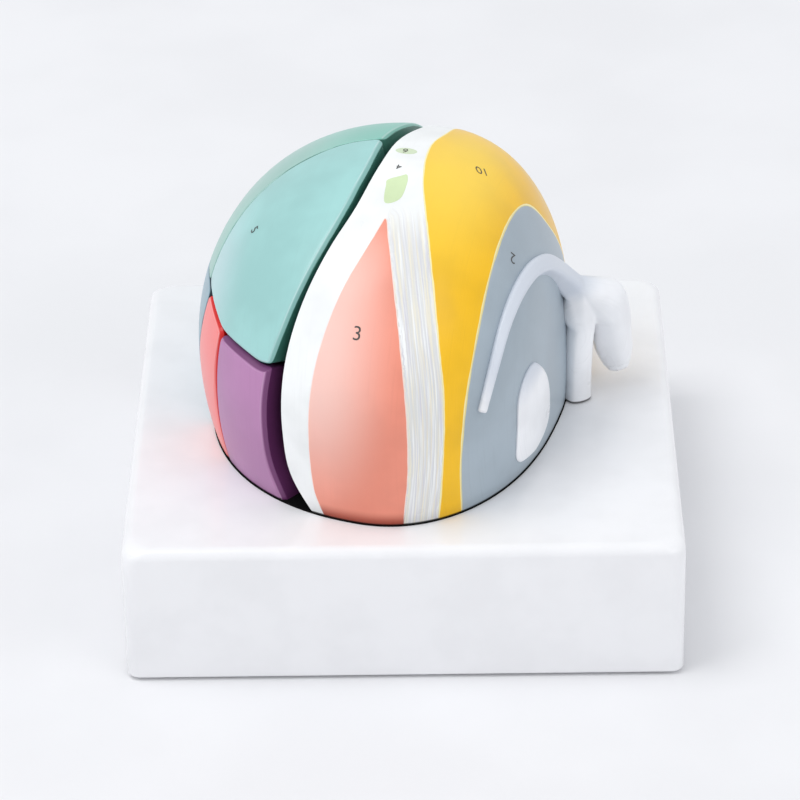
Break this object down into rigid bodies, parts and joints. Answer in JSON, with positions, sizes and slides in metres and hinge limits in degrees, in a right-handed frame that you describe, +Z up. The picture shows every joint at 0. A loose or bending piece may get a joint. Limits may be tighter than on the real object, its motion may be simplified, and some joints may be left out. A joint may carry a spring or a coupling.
{
  "type": "thalamus anatomy model",
  "caption": "Take-apart teaching model of a thalamus: an egg-shaped body with coloured nucleus blocks on pegs and a raised inner ridge, which lifts off a square white base.",
  "frame": {"origin": "middle of the base's footprint, on the surface that the rubber feet stand on", "axes": "+Z up, -Y towards the front end of the thalamus, +X towards its inner side, where the white ridge and the lobe are"},
  "size_m": [0.15, 0.15, 0.1213],
  "materials": {
    "base_white": "glossy white moulding",
    "plate_grey": "fine moulded texture",
    "foot_rubber": "matt",
    "bright_steel": "turned steel",
    "lamina_white": "cast plastic with hand painted satin white",
    "turquoise": "cast plastic with satin paint",
    "purple": "cast plastic with satin paint",
    "red": "cast plastic with satin paint",
    "blue_grey": "cast plastic with satin paint",
    "salmon": "cast plastic with satin paint",
    "yellow": "cast plastic with satin paint",
    "grey": "cast plastic with satin paint"
  },
  "bodies": {
    "base": {"base_shell": "base_white", "base_plate": "plate_grey", "base_screw_1": "bright_steel", "base_screw_2": "bright_steel", "base_screw_3": "bright_steel", "base_screw_4": "bright_steel", "base_foot_1": "foot_rubber", "base_foot_2": "foot_rubber", "base_foot_3": "foot_rubber", "base_foot_4": "foot_rubber", "locating_dowel_front": "bright_steel", "locating_dowel_rear": "bright_steel"},
    "thalamus": {"thalamus_core": "lamina_white", "anterior_nuclei": "salmon", "mediodorsal_nucleus": "yellow", "midline_nuclei": "grey", "interthalamic_adhesion": "lamina_white", "stria_medullaris": "lamina_white", "habenula": "lamina_white", "pineal_body": "lamina_white", "lateral_dorsal_peg": "bright_steel", "lateral_posterior_peg": "bright_steel", "pulvinar_peg": "bright_steel", "ventral_anterior_peg": "bright_steel", "ventral_lateral_peg": "bright_steel", "ventral_posterior_peg": "bright_steel"},
    "lateral_dorsal_block": {"lateral_dorsal_nucleus": "turquoise"},
    "lateral_posterior_block": {"lateral_posterior_nucleus": "turquoise"},
    "pulvinar_block": {"pulvinar": "turquoise", "medial_geniculate_body": "turquoise", "lateral_geniculate_body": "turquoise"},
    "ventral_anterior_block": {"ventral_anterior_nucleus": "purple"},
    "ventral_lateral_block": {"ventral_lateral_nucleus": "red"},
    "ventral_posterior_block": {"ventral_posterior_nucleus": "blue_grey"}
  },
  "joints": [
    {"name": "thalamus_lift", "type": "slide", "parent": "base", "child": "thalamus", "axis": [0, 0, 1], "range_m": [0, 0.03]},
    {"name": "lateral_dorsal_pull", "type": "slide", "parent": "thalamus", "child": "lateral_dorsal_block", "axis": [-0.6467, -0.2144, 0.732], "range_m": [0, 0.03]},
    {"name": "lateral_posterior_pull", "type": "slide", "parent": "thalamus", "child": "lateral_posterior_block", "axis": [-0.5625, 0.457, 0.689], "range_m": [0, 0.03]},
    {"name": "pulvinar_pull", "type": "slide", "parent": "thalamus", "child": "pulvinar_block", "axis": [0.1421, 0.9507, 0.2756], "range_m": [0, 0.03]},
    {"name": "ventral_anterior_pull", "type": "slide", "parent": "thalamus", "child": "ventral_anterior_block", "axis": [-0.7687, -0.6263, 0.1297], "range_m": [0, 0.03]},
    {"name": "ventral_lateral_pull", "type": "slide", "parent": "thalamus", "child": "ventral_lateral_block", "axis": [-0.9316, -0.3331, 0.1456], "range_m": [0, 0.03]},
    {"name": "ventral_posterior_pull", "type": "slide", "parent": "thalamus", "child": "ventral_posterior_block", "axis": [-0.9276, 0.3468, 0.1392], "range_m": [0, 0.03]}
  ]
}
